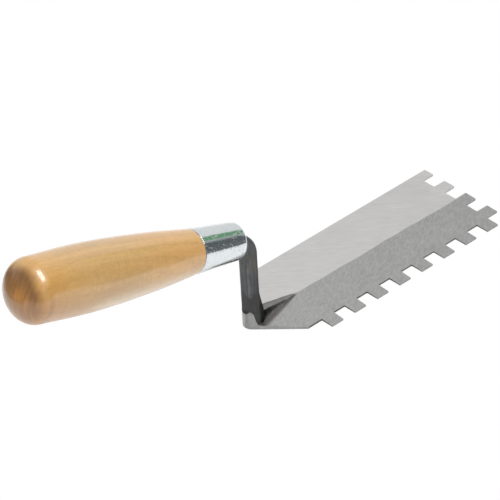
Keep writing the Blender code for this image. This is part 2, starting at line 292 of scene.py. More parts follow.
def rounded(corners):
    """Plan outline with each corner (x, y, radius) replaced by an arc."""
    outline = []
    count = len(corners)
    for i, (x, y, radius) in enumerate(corners):
        here = Vector((x, y))
        if radius == 0.0:
            outline.append(here)
            continue
        to_before = (Vector(corners[i - 1][:2]) - here).normalized()
        to_after = (Vector(corners[(i + 1) % count][:2]) - here).normalized()
        half = to_before.angle(to_after) / 2
        start = here + to_before * radius / math.tan(half)
        end = here + to_after * radius / math.tan(half)
        centre = here + (to_before + to_after).normalized() * radius / math.sin(half)
        for step in range(CORNER_STEPS + 1):
            chord = start.lerp(end, step / CORNER_STEPS)
            outline.append(centre + (chord - centre).normalized() * radius)
    return outline


# Forging


def ridge_wander(x):
    """How far the ridge strays sideways from the centreline: the two facets were ground by hand."""
    fade = smooth_step((x - RIB_TIP_X * 0.6) / (12 * MM))
    return RIDGE_WANDER * noise.noise(Vector((x / RIDGE_WANDER_LENGTH, 2.3, 0.0))) * fade


def roof_height(x, y):
    """Top of the blade: thin along its edges, rising to a softened ridge."""
    ridge = RIDGE_AT_SHANK + (RIDGE_AT_TIP - RIDGE_AT_SHANK) * x / TIP_X
    across = math.hypot(y - ridge_wander(x), RIDGE_SOFTNESS)
    return EDGE_THICKNESS + (ridge - EDGE_THICKNESS) * (1.0 - across / (WIDTH / 2))


def heel_arc(inset):
    """Plan points round the back of the heel, from the plain side's shoulder to the notched side's."""
    centre_x = HEEL_APEX_X + HEEL_ROUND * math.sqrt(2)
    radius = HEEL_ROUND - inset
    angles = [math.radians(135 + 90 * step / HEEL_STEPS) for step in range(HEEL_STEPS + 1)]
    return [(centre_x + radius * math.cos(a), radius * math.sin(a)) for a in angles]


def blade_outline():
    """Plan outline, anticlockwise from the back of the heel: notched side, notched tip, plain side."""
    near = -WIDTH / 2
    inner = near + NOTCH_DEPTH
    corners = [(x, y, 0.0) for x, y in heel_arc(0.0)]
    corners.append((HEEL_APEX_X - inner, inner, SHOULDER_CORNER))
    for tooth in range(SIDE_TEETH):
        start = FIRST_TOOTH_X + tooth * PITCH
        end = start + PITCH - SIDE_NOTCH
        corners += [
            (start, inner, NOTCH_CORNER),
            (start + TOOTH_DRAFT, near, TOOTH_CORNER),
            (end - TOOTH_DRAFT, near, TOOTH_CORNER),
        ]
        if tooth < SIDE_TEETH - 1:
            corners.append((end, inner, NOTCH_CORNER))
    corners.append((TIP_X - SIDE_NOTCH, near + TIP_NOTCH, NOTCH_CORNER))
    for tooth in range(TIP_TEETH):
        start = near + tooth * PITCH + TIP_NOTCH
        end = min(near + (tooth + 1) * PITCH, WIDTH / 2)
        corners += [(TIP_X, start + TOOTH_DRAFT, TOOTH_CORNER), (TIP_X, end - TOOTH_DRAFT, TOOTH_CORNER)]
        if tooth < TIP_TEETH - 1:
            corners.append((TIP_X - NOTCH_DEPTH, end, NOTCH_CORNER))
            corners.append((TIP_X - NOTCH_DEPTH, end + TIP_NOTCH, NOTCH_CORNER))
    corners.append((WIDTH / 2 + HEEL_APEX_X, WIDTH / 2, SHOULDER_CORNER))
    return rounded(corners)


def blade_bmesh():
    """The blade: its outline cut into a grid, thickened, raised to the ridge and eased along its rim."""
    bm = bmesh.new()
    bm.faces.new([bm.verts.new((x, y, 0.0)) for x, y in blade_outline()])
    cuts = [(Vector((x * MM, 0, 0)), Vector((1, 0, 0))) for x in GRID_X_MM]
    for y in GRID_Y_MM:
        for side in (1, -1) if y else (1,):
            cuts.append((Vector((0, side * y * MM, 0)), Vector((0, 1, 0))))
    for place, normal in cuts:
        everything = bm.verts[:] + bm.edges[:] + bm.faces[:]
        bmesh.ops.bisect_plane(bm, geom=everything, dist=1e-7, plane_co=place, plane_no=normal)
    extruded = bmesh.ops.extrude_face_region(bm, geom=bm.faces[:], use_keep_orig=True)
    for item in extruded["geom"]:
        if isinstance(item, bmesh.types.BMVert):
            near_ridge = 1.0 - smooth_step((abs(item.co.y) - 0.5 * MM) / (4.0 * MM))
            item.co.y += ridge_wander(item.co.x) * near_ridge
            item.co.z = roof_height(item.co.x, item.co.y)
    bm.normal_update()
    rim = []
    for edge in bm.edges:
        upright = [abs(face.normal.z) < 0.5 for face in edge.link_faces]
        if len(upright) == 2 and upright[0] != upright[1]:
            rim.append(edge)
    bmesh.ops.bevel(
        bm,
        geom=rim,
        offset=EDGE_BEVEL,
        offset_type="OFFSET",
        segments=2,
        profile=0.5,
        affect="EDGES",
        clamp_overlap=True,
    )
    return bm


def bar_section(half, corner):
    """Rounded square about the origin, anticlockwise from the middle of its +X side."""
    flat = half - corner
    points = [Vector((half, flat * step / BAR_STEPS)) for step in range(BAR_STEPS)]
    for quarter in range(4):
        turn = Matrix.Rotation(quarter * math.pi / 2, 2)
        for step in range(BAR_STEPS + 1):
            angle = step / BAR_STEPS * math.pi / 2
            points.append(turn @ Vector((flat + corner * math.cos(angle), flat + corner * math.sin(angle))))
        if quarter < 3:
            shares = [1 - 2 * step / BAR_STEPS for step in range(1, BAR_STEPS)]
            points += [turn @ Vector((flat * share, half)) for share in shares]
    points += [Vector((half, -flat * (BAR_STEPS - step) / BAR_STEPS)) for step in range(1, BAR_STEPS)]
    return points


def past(turn, start, width):
    """0 before an angle away from +X, either way round, and 1 from a width past it. Degrees."""
    return smooth_step((abs(turn) - math.radians(start)) / math.radians(width))


def foot_ring(section, share):
    """Ring of the foot at a share of the way from the bar's sides, 0, out to where it meets the blade, 1."""
    ring = []
    for inner in section:
        turn = math.atan2(inner.y, inner.x)
        to_side = past(turn, 18, 24)
        past_corner = past(turn, 60, 50)
        to_low = past(turn, 95, 30)
        to_back = past(turn, 125, 25)
        flare = FOOT_CORNER_FLARE + (FOOT_SIDE_FLARE - FOOT_CORNER_FLARE) * past_corner
        reach = FOOT_RADIUS - SHANK_HALF
        reach += (flare + FOOT_SIDE_MARGIN - FOOT_RADIUS + SHANK_HALF) * to_side
        reach += (FOOT_BACK_RADIUS - inner.length - reach) * to_back
        out = reach * share
        hammered = FOOT_HAMMERED * noise.noise(Vector((4 * math.cos(turn), 4 * math.sin(turn), 0.4)))
        back_z = BACK_FLARE_Z + (hammered - FOOT_LEAN * inner.y)
        top = FLARE_Z + (back_z - FLARE_Z) * to_low - RIDGE_AT_SHANK
        front = top * (1.0 - share) ** 3
        knee = FOOT_CORNER_KNEE + (FOOT_SIDE_KNEE - FOOT_CORNER_KNEE) * past_corner
        side = (top - UPSET_RISE) * max(1.0 - out / knee, 0.0) ** (1.2 + 0.8 * past_corner)
        start = knee * (0.8 - 0.45 * past_corner)
        side += UPSET_RISE * (1.0 - smooth_step((out - start) / (flare - start)))
        back = top * (1.0 - share) ** 0.6
        rise = front + (side - front) * to_side
        rise += (back - rise) * to_back
        place = inner + inner.normalized() * out
        ring.append(Vector((place.x, place.y, roof_height(*place) + rise - FOOT_SINK * share)))
    return ring


def bar_ring(section, centre, angle):
    """The section across the bar where the bar's axis has turned back by an angle from straight up."""
    outward = Vector((math.cos(angle), 0.0, math.sin(angle)))
    return [centre + outward * point.x + Vector((0.0, point.y, 0.0)) for point in section]


def shank_bmesh():
    """Foot, upright, bend and tang as one loft, with the slight unevenness of a hammered bar."""
    bm = bmesh.new()
    section = bar_section(SHANK_HALF, SHANK_CORNER)
    turn = math.pi / 2 - HANDLE_TILT
    bend_z = BEND_CORNER_Z - BEND_RADIUS * math.tan(turn / 2)
    rings = [foot_ring(section, (step / FOOT_STEPS) ** 2) for step in range(FOOT_STEPS, 0, -1)]
    for step in range(UPRIGHT_STEPS + 1):
        z = FLARE_Z + (bend_z - FLARE_Z) * step / UPRIGHT_STEPS
        rings.append(bar_ring(section, Vector((0, 0, z)), 0.0))
    for step in range(1, BEND_STEPS + 1):
        angle = turn * step / BEND_STEPS
        centre = Vector((BEND_RADIUS * (math.cos(angle) - 1), 0, bend_z + BEND_RADIUS * math.sin(angle)))
        rings.append(bar_ring(section, centre, angle))
    for step in range(1, TANG_STEPS + 1):
        share = step / TANG_STEPS
        half = SHANK_HALF + (TANG_END_HALF - SHANK_HALF) * share
        tapered = bar_section(half, SHANK_CORNER * half / SHANK_HALF)
        rings.append(bar_ring(tapered, centre + ALONG_HANDLE * TANG_LENGTH * share, turn))
    add_loft(bm, rings)
    bmesh.ops.recalc_face_normals(bm, faces=bm.faces)
    bm.normal_update()
    for vert in bm.verts:
        x, y, z = vert.co
        clear_of_blade = smooth_step((z - roof_height(x, y) - 0.4 * MM) / (2 * MM))
        clear_of_ferrule = smooth_step((x + 12 * MM) / (8 * MM))
        hammered = BAR_HAMMERED * noise.noise(Vector((x, y, z * 0.6)) / HAMMER_LENGTH)
        vert.co += vert.normal * (hammered - BAR_WORN) * (clear_of_blade * clear_of_ferrule)
    return bm


def rib_bmesh():
    """The rib: a flat-topped bar with steep sides and hollow flanks, lowest and narrowest at its point."""
    wall_shares = (0.4, 0.6, 0.8, 1.0)
    flank_shares = (0.08, 0.16, 0.26, 0.38, 0.52, 0.68, 0.84, 1.0)
    bm = bmesh.new()
    rings = []
    for step in range(RIB_STEPS + 1):
        x = RIB_START_X + (RIB_TIP_X - RIB_START_X) * step / RIB_STEPS
        share = max(x / RIB_TIP_X, 0.0)
        rise = RIB_RISE * (1.0 - share)
        top = RIB_TOP_HALF * (1.0 - RIB_TOP_TAPER * share)
        wall = top + RIB_WALL * (1.0 - RIB_WALL_TAPER * share)
        foot = RIB_FOOT_HALF + (RIB_FOOT_TIP - RIB_FOOT_HALF) * share
        edge = RIB_EDGE * (1.0 - RIB_WALL_TAPER * share)
        half = [(0.0, 1.0), (top * 0.5, 0.995), (top - edge, 0.98), (top, 0.93)]
        half.append((top + edge * 0.5, RIB_WALL_SHARE))
        drop = RIB_FLANK_SHARE - RIB_WALL_SHARE
        half += [(top + (wall - top) * k, RIB_WALL_SHARE + drop * k**0.8) for k in wall_shares]
        half += [(wall + (foot - wall) * k, RIB_FLANK_SHARE * (1.0 - k) ** 2.2) for k in flank_shares]
        ring = []
        for y, portion in [(-y, portion) for y, portion in half[:0:-1]] + half:
            sink = RIB_SINK * max(abs(y) / foot, share**3)
            ring.append(Vector((x, y, roof_height(x, y) + rise * portion - sink)))
        ring += [Vector((x, foot, 0.3 * MM)), Vector((x, -foot, 0.3 * MM))]
        rings.append(ring)
    add_loft(bm, rings)
    bmesh.ops.recalc_face_normals(bm, faces=bm.faces)
    for vert in bm.verts:
        x, y, z = vert.co
        clear = smooth_step((z - roof_height(x, y) - 0.3 * MM) / (1.2 * MM))
        vert.co.z += RIB_HAMMERED * noise.noise(Vector((x, y, 0.0)) / RIB_HAMMER_LENGTH) * clear
    return bm


def behind_heel():
    """Everything behind the heel's two shoulders and its arc, up to above the flare."""
    bm = bmesh.new()
    side = WIDTH
    shoulder_x = HEEL_APEX_X + HEEL_INSET * math.sqrt(2) + side
    outline = [(shoulder_x, side), *heel_arc(HEEL_INSET), (shoulder_x, -side), (-side, -side), (-side, side)]
    add_loft(bm, [[Vector((x, y, z)) for x, y in outline] for z in (-side, FLARE_Z + 2 * MM)])
    return bm


def heel_distance(point):
    """How far a point stands inside the heel's ground outline, in plan."""
    centre_x = HEEL_APEX_X + HEEL_ROUND * math.sqrt(2)
    from_shoulder = (point.x - abs(point.y) - HEEL_APEX_X) / math.sqrt(2)
    if point.x < centre_x - abs(point.y):
        return HEEL_ROUND - math.hypot(point.x - centre_x, point.y)
    return from_shoulder


def mark_surfaces(mesh):
    """Marks each face corner for the material.

    facet goes from 0 to 1 across the ridge, towards the plain side. cut is 1 where the forged skin was cut or
    ground away, and sheared is 1 on the walls of the notches in the long edge.
    """
    facet = mesh.attributes.new("facet", "FLOAT", "CORNER")
    cut = mesh.attributes.new("cut", "FLOAT", "CORNER")
    sheared = mesh.attributes.new("sheared", "FLOAT", "CORNER")
    margin = 0.15 * MM
    tooth_end_y = -WIDTH / 2 + margin
    notch_bottom_y = -WIDTH / 2 + NOTCH_DEPTH + 0.2 * MM
    for polygon in mesh.polygons:
        is_wall = abs(polygon.normal.z) < 0.35
        corners = [mesh.vertices[i].co for i in polygon.vertices]
        middle = polygon.center
        at_heel = max(heel_distance(co) for co in corners) < 0.06 * MM and middle.z < FLARE_Z
        on_blade = all(co.z <= roof_height(co.x, co.y) + 0.02 * MM for co in corners)
        in_notch = tooth_end_y < middle.y < notch_bottom_y and middle.x < TIP_X - margin
        in_notch = in_notch and heel_distance(middle) > margin and middle.z < EDGE_THICKNESS * 1.6
        for loop, co in zip(polygon.loop_indices, corners):
            off_ridge = (co.y - ridge_wander(co.x)) / margin
            facet.data[loop].value = min(max(0.5 + 0.5 * off_ridge, 0.0), 1.0)
            cut.data[loop].value = 1.0 if (is_wall and at_heel) or on_blade else 0.0
            sheared.data[loop].value = 1.0 if is_wall and in_notch else 0.0


def make_forging(material):
    obj = make_object("forged_blade_and_shank", blade_bmesh(), [material])
    shank = make_object("shank_blank", shank_bmesh(), [])
    boolean(shank, rib_bmesh(), "UNION")
    joined = bmesh.new()
    joined.from_mesh(shank.data)
    bpy.data.meshes.remove(shank.data)
    boolean(obj, joined, "UNION")
    boolean(obj, behind_heel(), "DIFFERENCE")
    mark_surfaces(obj.data)
    shade(obj, 40)
    return obj


# Ferrule and handle, about their own axis


def set_on_axis(obj, axis):
    """Moves a turned mesh onto its axis. The attribute "turned" keeps each point's place before the move."""
    turned = obj.data.attributes.new("turned", "FLOAT_VECTOR", "POINT")
    for vert in obj.data.vertices:
        turned.data[vert.index].vector = vert.co
    obj.data.transform(axis)


def tang_hole(half, end_half, low, high):
    """What a square hole with rounded corners takes away: half wide at low, end_half at high."""
    bm = bmesh.new()
    rings = []
    for side, z in ((half, low), (end_half, high)):
        section = bar_section(side, SHANK_CORNER * side / SHANK_HALF)
        rings.append([Vector((point.x, point.y, z)) for point in section])
    add_loft(bm, rings)
    return bm


def make_ferrule(material, axis):
    """A tapered cap, open behind, with a square hole for the shank in its face."""
    bevel = 0.6 * MM
    bm = bmesh.new()
    profile = [(0.0, 0.0), (FERRULE_FRONT_RADIUS * 0.6, 0.0)]
    profile += arc((FERRULE_FRONT_RADIUS - FERRULE_LIP, FERRULE_LIP), FERRULE_LIP, -90, 0, 12)
    wall_steps = 12
    for step in range(1, wall_steps):
        z = FERRULE_LIP + (FERRULE_LENGTH - FERRULE_LIP - FERRULE_REAR_ROUND) * step / wall_steps
        profile.append((FERRULE_FRONT_RADIUS + FERRULE_SLOPE * z, z))
    rear = (FERRULE_REAR_RADIUS - FERRULE_REAR_ROUND, FERRULE_LENGTH - FERRULE_REAR_ROUND)
    profile += arc(rear, FERRULE_REAR_ROUND, 0, 90, 6)
    inner_front = FERRULE_FRONT_RADIUS + FERRULE_SLOPE * FERRULE_FACE - FERRULE_WALL
    profile += [
        (FERRULE_REAR_RADIUS - FERRULE_WALL, FERRULE_LENGTH),
        (inner_front, FERRULE_FACE + bevel),
        (inner_front - bevel, FERRULE_FACE),
        (0.0, FERRULE_FACE),
    ]
    add_lathe(bm, profile)
    obj = make_object("ferrule_cap", bm, [material])
    boolean(obj, tang_hole(SHANK_HALF + FIT_GAP, SHANK_HALF + FIT_GAP, -5 * MM, 5 * MM), "DIFFERENCE")
    set_on_axis(obj, axis)
    shade(obj, 50)
    return obj


def wood_radius(z):
    """Radius of the turned wood behind the ferrule: a smooth curve through its stations."""
    stations = [(FERRULE_LENGTH, WOOD_FRONT_RADIUS)]
    stations += [(FERRULE_LENGTH + z_mm * MM, r_mm * MM) for z_mm, r_mm in WOOD_STATIONS]
    last = len(stations) - 1
    slopes = []
    for i in range(last + 1):
        before, after = stations[max(i - 1, 0)], stations[min(i + 1, last)]
        slopes.append((after[1] - before[1]) / (after[0] - before[0]))
    for i in range(last):
        (z0, r0), (z1, r1) = stations[i], stations[i + 1]
        if z <= z1 or i == last - 1:
            span = z1 - z0
            t = (z - z0) / span
            start = (2 * t**3 - 3 * t**2 + 1) * r0 + (t**3 - 2 * t**2 + t) * span * slopes[i]
            return start + (3 * t**2 - 2 * t**3) * r1 + (t**3 - t**2) * span * slopes[i + 1]


def make_handle(material, axis):
    """The turned wood: a tenon inside the ferrule, a swelling grip and a domed butt, bored for the tang."""
    bm = bmesh.new()
    tenon_front = FERRULE_FACE + FIT_GAP
    inner_front = FERRULE_FRONT_RADIUS + FERRULE_SLOPE * FERRULE_FACE - FERRULE_WALL - FIT_GAP
    shoulder_z = FERRULE_LENGTH + 0.05 * MM
    bevel = 1.0 * MM
    ease = 0.18 * MM
    profile = [
        (0.0, tenon_front),
        (inner_front - bevel, tenon_front),
        (inner_front, tenon_front + bevel),
        (FERRULE_REAR_RADIUS - FERRULE_WALL - FIT_GAP, shoulder_z),
    ]
    profile += arc((WOOD_FRONT_RADIUS - ease, shoulder_z + ease), ease, -90, 0, 3)
    dome_z = FERRULE_LENGTH + WOOD_LENGTH - DOME_LENGTH
    for step in range(1, WOOD_STEPS + 1):
        z = shoulder_z + ease + (dome_z - shoulder_z - ease) * step / WOOD_STEPS
        profile.append((wood_radius(z), z))
    for step in range(1, DOME_STEPS + 1):
        angle = math.pi / 2 * step / DOME_STEPS
        radius = wood_radius(dome_z) * math.cos(angle) if step < DOME_STEPS else 0.0
        profile.append((radius, dome_z + DOME_LENGTH * math.sin(angle)))
    add_lathe(bm, profile)
    obj = make_object("turned_handle", bm, [material])
    taper = (SHANK_HALF - TANG_END_HALF) / TANG_LENGTH
    start = SHANK_HALF + FIT_GAP + taper * 5 * MM
    boolean(obj, tang_hole(start, TANG_END_HALF + FIT_GAP, -5 * MM, BORE_LENGTH), "DIFFERENCE")
    set_on_axis(obj, axis)
    shade(obj, 50)
    return obj


# Node helpers for the materials


class Tree:
    """Short calls that add shader nodes and give back an output socket."""

    def __init__(self, tree):
        self.tree = tree

    def add(self, kind, inputs=None, output=0, **settings):
        node = self.tree.nodes.new(kind)
        for name, value in settings.items():
            setattr(node, name, value)
        for name, value in (inputs or {}).items():
            if isinstance(value, bpy.types.NodeSocket):
                self.tree.links.new(value, node.inputs[name])
            else:
                node.inputs[name].default_value = value
        return node.outputs[output]

    def link(self, socket, node, name):
        self.tree.links.new(socket, node.inputs[name])

    def attribute(self, name, output="Fac"):
        return self.add("ShaderNodeAttribute", output=output, attribute_name=name)

    def component(self, vector, axis):
        return self.add("ShaderNodeSeparateXYZ", {0: vector}, output=axis)

    def maths(self, operation, a, b=0.0):
        return self.add("ShaderNodeMath", {0: a, 1: b}, operation=operation)

    def multiply(self, a, b, clamp=False):
        return self.add("ShaderNodeMath", {0: a, 1: b}, operation="MULTIPLY", use_clamp=clamp)

    def multiply_add(self, a, b, c):
        return self.add("ShaderNodeMath", {0: a, 1: b, 2: c}, operation="MULTIPLY_ADD")

    def complement(self, share):
        return self.maths("SUBTRACT", 1.0, share)

    def step(self, value, low, high):
        """0 at low, 1 at high, smooth between. It falls instead where low is above high."""
        inputs = {"Value": value, "From Min": low, "From Max": high}
        return self.add("ShaderNodeMapRange", inputs, interpolation_type="SMOOTHSTEP")

    def span(self, value, low, high, to_low, to_high):
        """A straight ramp from to_low at low to to_high at high, held beyond both."""
        inputs = {"Value": value, "From Min": low, "From Max": high, "To Min": to_low, "To Max": to_high}
        return self.add("ShaderNodeMapRange", inputs)

    def ramp(self, share, at_0, at_1):
        return self.span(share, 0.0, 1.0, at_0, at_1)

    def stretch(self, noise_value, low, high):
        """Noise stretched so that the range where most of it lies runs from low to high."""
        return self.span(noise_value, *NOISE_RANGE, low, high)

    def blend(self, share, a, b):
        """Mix of two values."""
        return self.add("ShaderNodeMix", {0: share, 2: a, 3: b})

    def mix(self, share, a, b):
        """Mix of two colours."""
        node = self.tree.nodes.new("ShaderNodeMix")
        node.data_type = "RGBA"
        for name, value in (("Factor_Float", share), ("A_Color", a), ("B_Color", b)):
            socket = next(s for s in node.inputs if s.identifier == name)
            if isinstance(value, bpy.types.NodeSocket):
                self.tree.links.new(value, socket)
            else:
                socket.default_value = (*value, 1.0) if isinstance(value, tuple) else value
        return next(s for s in node.outputs if s.identifier == "Result_Color")

    def tinted(self, colour, amount):
        """Colour brightened or darkened by a factor."""
        return self.add("ShaderNodeVectorMath", {0: colour, "Scale": amount}, operation="SCALE")

    def place(self, vector, scale=(1, 1, 1), turn=0.0):
        """Vector scaled along each axis, then turned about Z."""
        return self.add("ShaderNodeMapping", {"Vector": vector, "Scale": scale, "Rotation": (0, 0, turn)})

    def noise(self, vector, scale, detail=2.0, roughness=0.5, distortion=0.0):
        """Noise at one scale, or at a scale for each axis."""
        if isinstance(scale, tuple):
            vector, scale = self.place(vector, scale), 1.0
        inputs = {"Vector": vector, "Scale": scale, "Detail": detail, "Roughness": roughness}
        inputs["Distortion"] = distortion
        return self.add("ShaderNodeTexNoise", inputs)


def new_material(name):
    material = bpy.data.materials.new(name)
    material.use_nodes = True
    shader = material.node_tree.nodes["Principled BSDF"]
    return material, Tree(material.node_tree), shader


def grind(t, position, angle, fine, long):
    """Fine parallel grinding marks along an angle in plan: values near 0.5."""
    return t.noise(t.place(position, turn=-angle), (long, fine, 600), 3.0, 0.6)


def steel_material():
    """Ground blade with a forged, darker shank, foot and rib."""
    material, t, shader = new_material("ground_and_forged_steel")
    position = t.add("ShaderNodeTexCoord", output="Object")
    x, y, z = (t.component(position, axis) for axis in "XYZ")
    off_centre = t.maths("ABSOLUTE", y)
    facing_up = t.component(t.add("ShaderNodeNewGeometry", output="Normal"), "Z")
    upright = t.step(t.maths("ABSOLUTE", facing_up), 0.6, 0.35)
    facet = t.attribute("facet")

    # Ground steel: each facet has marks in a direction of its own. Painted light and shade: the near facet
    # darker, the far facet lighter, and walls darker
    near_marks = grind(t, position, NEAR_GRIND, 3000, 260)
    far_marks = grind(t, position, FAR_GRIND, 3400, 210)
    marks = t.blend(facet, near_marks, far_marks)
    near_tone = t.stretch(grind(t, position, NEAR_GRIND, 1150, 420), 0.87, 1.13)
    far_tone = t.stretch(grind(t, position, FAR_GRIND, 800, 120), 0.955, 1.045)
    tone = t.blend(facet, near_tone, far_tone)
    tone = t.multiply(tone, t.span(marks, 0.25, 0.75, 0.93, 1.07))
    tone = t.multiply(tone, t.stretch(t.noise(position, 70), 0.98, 1.02))
    # Painted shade: lighter at the heel, darker towards the tip
    tone = t.multiply(tone, t.span(x, 0.0, TIP_X, 1.03, 0.97))
    # Painted shade: upright faces darker than the facets
    tone = t.multiply(tone, t.ramp(upright, 1.0, 0.72))
    ground = t.tinted(t.mix(facet, SHADED_NEAR_FACET, LIT_FAR_FACET), tone)

    # Heat scale and painted shade round the foot and the rib, darkest close to them. Reach is 1 at the edge of
    # that zone.
    reach = t.maths("DIVIDE", off_centre, t.span(x, 0.0, RIB_TIP_X, SCORCH_AND_SHADE_HALF, SCORCH_AND_SHADE_TIP_HALF))
    reach = t.maths("ADD", reach, t.stretch(t.noise(position, (90, 900, 300)), -0.08, 0.08))
    scorch_and_shade = t.multiply(t.step(reach, 1.12, 0.80), t.step(x, 27 * MM, 20 * MM))
    scorch_and_shade = t.multiply(scorch_and_shade, t.complement(upright), clamp=True)
    scorched_and_shaded = t.tinted(t.mix(t.step(reach, 0.46, 1.0), SCORCHED_AND_SHADED_INSIDE, SCORCHED_AND_SHADED_EDGE), tone)
    ground = t.mix(scorch_and_shade, ground, scorched_and_shaded)

    # Forged skin wherever the surface stands above the blade's own top and was not cut away
    ridge = t.span(x, 0.0, TIP_X, RIDGE_AT_SHANK - EDGE_THICKNESS, RIDGE_AT_TIP - EDGE_THICKNESS)
    roof = t.multiply_add(ridge, t.span(off_centre, 0.0, WIDTH / 2, 1.0, 0.0), EDGE_THICKNESS)
    ragged = t.multiply_add(t.noise(position, 900), 0.35 * MM, t.maths("SUBTRACT", z, roof))
    forged = t.step(ragged, 0.16 * MM, 0.80 * MM)
    forged = t.multiply(forged, t.complement(t.attribute("cut")), clamp=True)

    streak = t.noise(position, (1500, 1500, 130), 3.0, 0.6)
    blotch = t.noise(position, 330, 3.0, 0.6)
    up_the_bar = t.step(t.multiply_add(blotch, 5 * MM, z), 17.5 * MM, 21.5 * MM)
    skin = t.mix(up_the_bar, SKIN_LOW, SKIN_HIGH)
    heat = t.multiply(t.step(t.noise(position, 160, 1.0), 0.5, 0.68), t.step(z, 22 * MM, 34 * MM))
    skin = t.mix(t.multiply(heat, 0.45), skin, SKIN_HEATED)
    towards_tip = t.multiply(t.step(x, 6 * MM, 17 * MM), t.step(z, 8 * MM, 7 * MM))
    skin = t.mix(towards_tip, skin, RIB_POINT)
    # Dark scale and painted shade in the hollow between the bar and the rib
    beside_bar = t.step(t.maths("MAXIMUM", x, off_centre), 3.2 * MM, 3.9 * MM)
    on_foot = t.multiply(beside_bar, t.step(x, 0.0, 2 * MM))
    before_rib = t.multiply(t.step(z, 13 * MM, 10 * MM), t.step(x, 6.5 * MM, 5.5 * MM))
    skin = t.mix(t.multiply(on_foot, before_rib), skin, FOOT_HOLLOW_SCALE_AND_SHADE)
    # Painted light: the rib's upward-facing crest lighter, with fine grooves
    lit_crest = t.multiply(t.step(facing_up, 0.80, 0.97), t.step(x, 4 * MM, 6 * MM))
    grooves = t.noise(position, (60, 1900, 900))
    skin = t.mix(lit_crest, skin, t.tinted(RIB_CREST_PAINTED_LIGHT, t.stretch(grooves, 0.82, 1.18)))
    # Painted shade: a dark line along the crest's far edge
    crest_half = t.span(x, 0.0, RIB_TIP_X, RIB_TOP_HALF, (1.0 - RIB_TOP_TAPER) * RIB_TOP_HALF)
    far_edge_shade = t.multiply(lit_crest, t.step(t.maths("DIVIDE", y, crest_half), 0.35, 0.75))
    skin = t.mix(far_edge_shade, skin, RIB_FAR_EDGE_SHADE)
    # The bar's upright corners lighter: partly rubbed wear, partly a painted highlight streak
    corner = t.maths("ADD", t.maths("ABSOLUTE", x), off_centre)
    worn_and_highlit = t.multiply(t.step(corner, 5.0 * MM, 5.3 * MM), t.step(z, 14 * MM, 19 * MM))
    worn_and_highlit = t.multiply(worn_and_highlit, t.multiply(t.step(z, 37 * MM, 30 * MM), t.stretch(blotch, 0.3, 1.0)))
    skin = t.mix(worn_and_highlit, skin, WORN_AND_HIGHLIT_CORNER)
    skin = t.tinted(skin, t.multiply(t.stretch(streak, 0.78, 1.22), t.stretch(blotch, 0.85, 1.15)))

    colour = t.mix(forged, ground, skin)
    torn = t.mix(t.step(z, 0.175 * MM, 0.37 * MM), TORN_BELOW, TORN_ABOVE)
    t.link(t.mix(t.attribute("sheared"), colour, torn), shader, "Base Color")
    shader.inputs["Metallic"].default_value = 1.0
    roughness = t.blend(forged, t.span(marks, 0.2, 0.8, 0.36, 0.5), t.stretch(blotch, 0.36, 0.52))
    t.link(roughness, shader, "Roughness")
    relief = t.blend(forged, marks, blotch)
    bump = t.add("ShaderNodeBump", {"Strength": 0.35, "Distance": 0.02 * MM, "Height": relief})
    t.link(bump, shader, "Normal")
    return material


def zinc_material():
    """Bright plated steel with a faint spangle, drawing marks and a few specks."""
    material, t, shader = new_material("plated_steel")
    position = t.attribute("turned", "Vector")
    spangle = t.noise(t.place(position, (1, 1, 0.55)), 1300, 3.0, 0.65)
    drawing = t.noise(position, (1800, 1800, 120))
    tone = t.multiply(t.stretch(spangle, 0.93, 1.05), t.stretch(drawing, 0.97, 1.03))
    speck = t.step(t.noise(position, 560, 1.0), 0.79, 0.83)
    t.link(t.tinted(t.mix(speck, PLATING, PLATING_SPECK), tone), shader, "Base Color")
    shader.inputs["Metallic"].default_value = 1.0
    matt = t.step(t.noise(t.place(position, (1, 1, 0.6)), 1150, 3.0, 0.6), 0.54, 0.67)
    t.link(t.ramp(matt, 0.12, 0.46), shader, "Roughness")
    height = t.multiply_add(spangle, 0.6, t.noise(position, 260, 1.0))
    bump = t.add("ShaderNodeBump", {"Strength": 0.75, "Distance": 0.062 * MM, "Height": height})
    t.link(bump, shader, "Normal")
    return material


